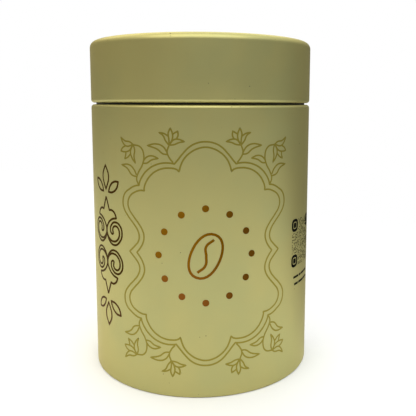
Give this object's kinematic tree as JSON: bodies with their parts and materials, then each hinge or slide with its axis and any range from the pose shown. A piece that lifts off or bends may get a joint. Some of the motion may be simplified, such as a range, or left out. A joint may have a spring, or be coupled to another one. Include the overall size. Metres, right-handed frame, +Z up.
{
  "type": "coffee tin",
  "caption": "Round coffee tin with a printed wall, a flush slip lid with a rounded edge, and a plug lid with a knob inside.",
  "frame": {"origin": "centre of the foot ring, on the surface that the tin stands on", "axes": "+Z up along the tin's axis, -Y out of the front, where the middle of the print is, +X to the right seen from the front"},
  "size_m": [0.085, 0.085, 0.1242],
  "materials": {
    "printed_tinplate": "satin pale olive-gold metallic lacquer over tinplate, printed in brown, copper and olive",
    "lacquered_tinplate": "satin olive-gold metallic lacquer over tinplate, plain",
    "dark_lacquer": "satin near-black lacquer over tinplate",
    "bare_tinplate": "bright rolled tinplate with a faint grain and a clear food lacquer",
    "turned_aluminium": "lathe-turned aluminium, satin",
    "seal_rubber": "matte pale food-grade silicone rubber",
    "foam_liner": "matte expanded polyethylene wad, off-white",
    "sealing_compound": "matte dark lining compound"
  },
  "bodies": {
    "tin": {"body_wall": "printed_tinplate", "base_end": "bare_tinplate", "base_seal": "sealing_compound", "neck_ring": "dark_lacquer"},
    "inner_lid": {"inner_lid_plate": "bare_tinplate", "inner_lid_seal": "seal_rubber", "inner_lid_knob": "turned_aluminium", "knob_rivet": "turned_aluminium"},
    "liner": {"lid_liner": "foam_liner"},
    "lid": {"lid_shell": "lacquered_tinplate"}
  },
  "joints": [
    {"name": "inner_lid_lift", "type": "slide", "parent": "tin", "child": "inner_lid", "axis": [0, 0, 1], "range_m": [0, 0.045]},
    {"name": "lid_lift", "type": "slide", "parent": "inner_lid", "child": "liner", "axis": [0, 0, 1], "range_m": [0, 0.045]},
    {"name": "lid_turn", "type": "hinge", "parent": "liner", "child": "lid", "pos_m": [0, 0, 0.1242], "axis": [0, 0, 1], "continuous": true}
  ]
}
